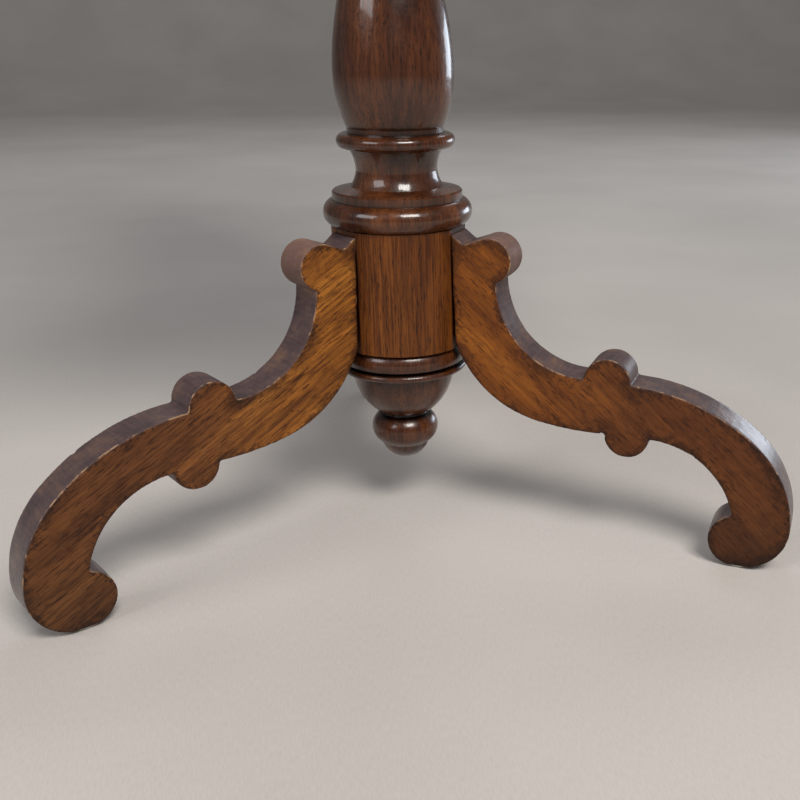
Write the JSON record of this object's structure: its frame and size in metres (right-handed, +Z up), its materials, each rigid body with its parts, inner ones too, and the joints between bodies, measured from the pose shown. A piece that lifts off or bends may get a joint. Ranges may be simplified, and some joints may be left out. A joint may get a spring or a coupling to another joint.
{
  "type": "teapoy",
  "caption": "Walnut tea chest with a hinged lid, canisters and glass bowls, on a turned column with a drop finial and scrolled tripod legs.",
  "frame": {"origin": "on the column's axis, at floor level, in the plane of the three glides", "axes": "+Z up along the column; -Y is the front, where the key is; +Y is the rear leg and the lid's hinges"},
  "size_m": [0.5476, 0.5092, 1.026],
  "materials": {
    "walnut_legs": "worn French polish over walnut, darker at the edges and feet",
    "walnut_block": "French-polished walnut, upright grain",
    "walnut_turned": "glossy French polish on turned walnut",
    "walnut_case": "French-polished walnut veneer",
    "walnut_canister": "polished walnut",
    "mahogany_inside": "unpolished",
    "velvet": "silk velvet, cut pile",
    "baize": "felted wool",
    "brass": "tarnished satin",
    "steel": "worn bright steel",
    "foil": "dull tin-lead foil",
    "bone": "turned bone",
    "glass": "clear polished"
  },
  "bodies": {
    "stand": {"leg_block": "walnut_block", "leg_left": "walnut_legs", "leg_right": "walnut_legs", "leg_rear": "walnut_legs", "drop_finial": "walnut_turned", "foot_glides": "steel", "column": "walnut_turned", "bearer": "walnut_case", "bearer_screws": "steel", "chest_bottom": "mahogany_inside", "chest_front": "walnut_case", "chest_back": "walnut_case", "chest_left": "walnut_case", "chest_right": "walnut_case", "base_moulding": "walnut_case", "escutcheon": "brass", "lock_case": "brass", "hinge_leaves_chest": "brass", "hinge_screws_chest": "brass", "hinge_pins": "brass", "well_deck": "velvet", "partition_left": "mahogany_inside", "partition_right": "mahogany_inside", "canister_pads": "baize"},
    "lid": {"lid_front_rail": "walnut_case", "lid_back_rail": "walnut_case", "lid_left_rail": "walnut_case", "lid_right_rail": "walnut_case", "lid_top": "walnut_case", "lid_moulding": "walnut_case", "lid_lining": "velvet", "link_plate": "brass", "hinge_leaves_lid": "brass", "hinge_screws_lid": "brass"},
    "key": {"key": "steel"},
    "lock_bolt": {"lock_bolt": "brass"},
    "canister_left": {"canister_left_box": "walnut_canister", "canister_left_foil": "foil", "canister_left_hinge_fixed": "brass", "canister_left_hinge_pins": "brass"},
    "canister_left_lid": {"canister_left_lid": "walnut_canister", "canister_left_knob": "bone", "canister_left_hinge_moving": "brass"},
    "canister_right": {"canister_right_box": "walnut_canister", "canister_right_foil": "foil", "canister_right_hinge_fixed": "brass", "canister_right_hinge_pins": "brass"},
    "canister_right_lid": {"canister_right_lid": "walnut_canister", "canister_right_knob": "bone", "canister_right_hinge_moving": "brass"},
    "bowl_front": {"bowl_front": "glass"},
    "bowl_back": {"bowl_back": "glass"}
  },
  "joints": [
    {"name": "lid_hinge", "type": "hinge", "parent": "stand", "child": "lid", "pos_m": [0, 0.1634, 0.7023], "axis": [-1, 0, 0], "range_deg": [-98, 0]},
    {"name": "key_turn", "type": "hinge", "parent": "stand", "child": "key", "pos_m": [0, -0.1566, 0.6741], "axis": [0, -1, 0], "range_deg": [0, 180]},
    {"name": "bolt_slide", "type": "slide", "parent": "stand", "child": "lock_bolt", "axis": [1, 0, 0], "range_m": [0, 0.006]},
    {"name": "canister_left_lift", "type": "slide", "parent": "stand", "child": "canister_left", "axis": [0, 0, 1], "range_m": [0, 0.16]},
    {"name": "canister_left_lid_hinge", "type": "hinge", "parent": "canister_left", "child": "canister_left_lid", "pos_m": [-0.1922, 0, 0.6923], "axis": [0, -1, 0], "range_deg": [0, 95]},
    {"name": "canister_right_lift", "type": "slide", "parent": "stand", "child": "canister_right", "axis": [0, 0, 1], "range_m": [0, 0.16]},
    {"name": "canister_right_lid_hinge", "type": "hinge", "parent": "canister_right", "child": "canister_right_lid", "pos_m": [0.1922, 0, 0.6923], "axis": [0, 1, 0], "range_deg": [0, 95]},
    {"name": "bowl_front_lift", "type": "slide", "parent": "stand", "child": "bowl_front", "axis": [0, 0, 1], "range_m": [0, 0.12]},
    {"name": "bowl_back_lift", "type": "slide", "parent": "stand", "child": "bowl_back", "axis": [0, 0, 1], "range_m": [0, 0.12]}
  ],
  "couplings": [
    {"joint": "key_turn", "follows": "bolt_slide", "rad_per_m": 523.6}
  ]
}
